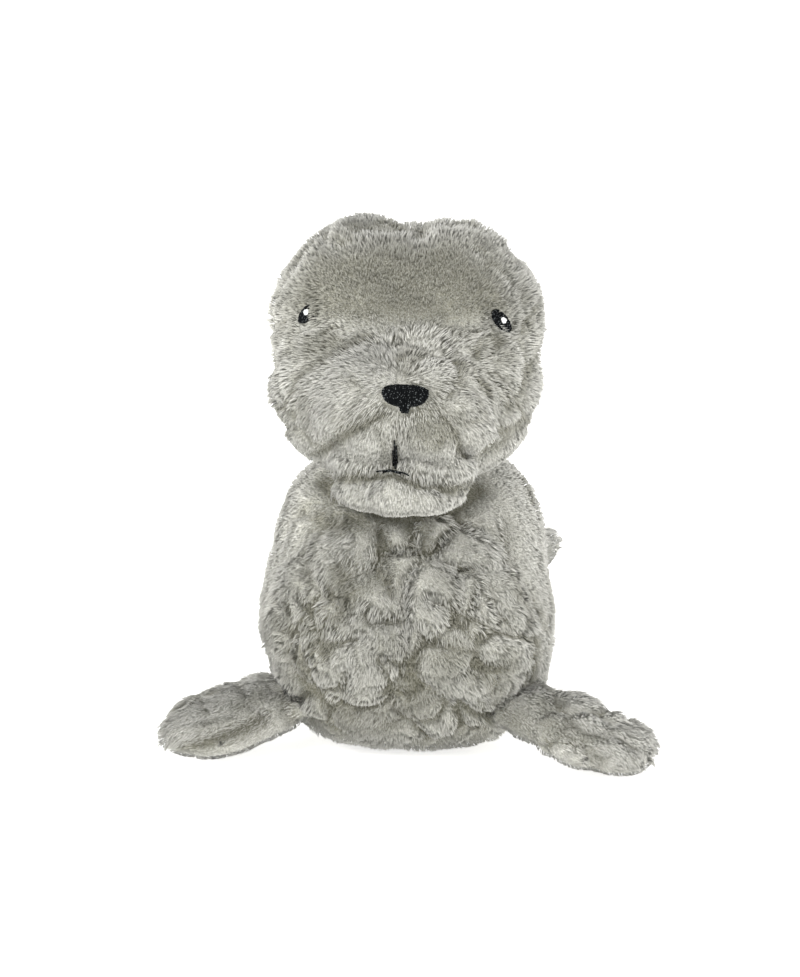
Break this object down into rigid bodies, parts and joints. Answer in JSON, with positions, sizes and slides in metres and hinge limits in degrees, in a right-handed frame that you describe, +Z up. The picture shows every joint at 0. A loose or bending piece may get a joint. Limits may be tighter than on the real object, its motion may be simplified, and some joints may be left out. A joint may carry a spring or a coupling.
{
  "type": "plush seal dog toy",
  "caption": "Soft grey plush seal for a dog, sitting up with a broad whiskerless face, embroidered nose and eyes, spread front flippers and a squeaker inside.",
  "frame": {"origin": "on the floor, at the flat spot under the body, between the front flippers' roots", "axes": "+Z up, the seal faces -Y, +X towards the seal's own left"},
  "size_m": [0.1879, 0.2275, 0.202],
  "materials": {
    "plush": "dense short polyester pile, matt",
    "black_thread": "rayon embroidery thread, satin stitch",
    "white_thread": "rayon embroidery thread, satin stitch",
    "polyester_fibre": "loose crimped fibre, matt",
    "squeaker": "blow-moulded polyethylene, satin"
  },
  "bodies": {
    "root": {"forehead_gusset": "plush", "head_panel_left": "plush", "head_panel_right": "plush", "chin_panel": "plush", "chest_panel_left": "plush", "chest_panel_right": "plush", "side_panel_left": "plush", "side_panel_right": "plush", "belly_panel": "plush", "front_flipper_left_upper": "plush", "front_flipper_left_lower": "plush", "front_flipper_right_upper": "plush", "front_flipper_right_lower": "plush", "hind_flipper_left_upper": "plush", "hind_flipper_left_lower": "plush", "hind_flipper_right_upper": "plush", "hind_flipper_right_lower": "plush", "nose_embroidery": "black_thread", "mouth_embroidery": "black_thread", "eye_left": "black_thread", "eye_right": "black_thread", "eye_glint_left": "white_thread", "eye_glint_right": "white_thread", "head_stuffing": "polyester_fibre", "body_stuffing_front": "polyester_fibre", "body_stuffing_back": "polyester_fibre", "squeaker_bladder": "squeaker", "squeaker_reed": "squeaker"}
  },
  "joints": []
}
